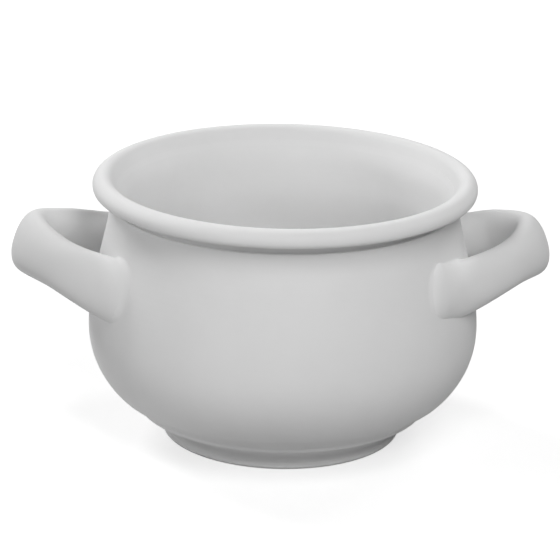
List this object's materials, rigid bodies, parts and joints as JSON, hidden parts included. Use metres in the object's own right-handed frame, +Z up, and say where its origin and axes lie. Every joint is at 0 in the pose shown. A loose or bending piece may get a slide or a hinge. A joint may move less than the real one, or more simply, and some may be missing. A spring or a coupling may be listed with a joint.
{
  "type": "soup bowl",
  "caption": "Round-bellied unglazed earthenware soup bowl with a rolled rim, a turned foot ring and a loop handle luted on at each side.",
  "frame": {"origin": "centre of the plane that the foot ring stands on", "axes": "+X out through the right-hand handle, +Y away from the viewer, +Z up through the open mouth"},
  "size_m": [0.1794, 0.1298, 0.0889],
  "materials": {
    "bisque": "matt unglazed white earthenware, sponged smooth",
    "slip": "matt dried slip of the same clay, wiped smooth"
  },
  "bodies": {
    "root": {"bowl_body": "bisque", "rim_roll": "bisque", "rim_slip_ring": "slip", "foot_ring": "bisque", "foot_slip_ring": "slip", "left_handle": "bisque", "left_handle_front_slip": "slip", "left_handle_back_slip": "slip", "right_handle": "bisque", "right_handle_front_slip": "slip", "right_handle_back_slip": "slip"}
  },
  "joints": []
}
